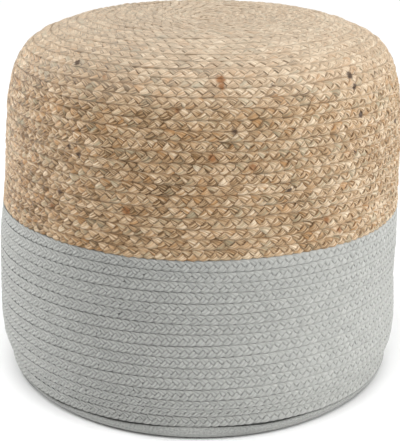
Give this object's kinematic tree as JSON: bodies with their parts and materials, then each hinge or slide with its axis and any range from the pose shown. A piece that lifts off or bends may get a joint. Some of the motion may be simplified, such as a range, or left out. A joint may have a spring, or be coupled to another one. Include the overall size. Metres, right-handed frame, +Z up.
{
  "type": "round pouf",
  "caption": "Round stuffed pouf covered in coiled plaits, natural jute on the crown and upper side and pale grey cotton below, with a canvas base panel.",
  "frame": {"origin": "on the floor under the middle of the pouf", "axes": "+Z up through the crown, -Y towards the viewer, +X to the viewer's right"},
  "size_m": [0.4655, 0.4661, 0.4055],
  "materials": {
    "canvas": "fine plain-weave canvas, matt",
    "cotton_plait": "plaited cotton yarn, matt",
    "jute_plait": "plaited raw jute fibre, dull sheen"
  },
  "bodies": {
    "root": {"base_panel": "canvas", "cotton_cover": "cotton_plait", "jute_cover": "jute_plait"}
  },
  "joints": []
}
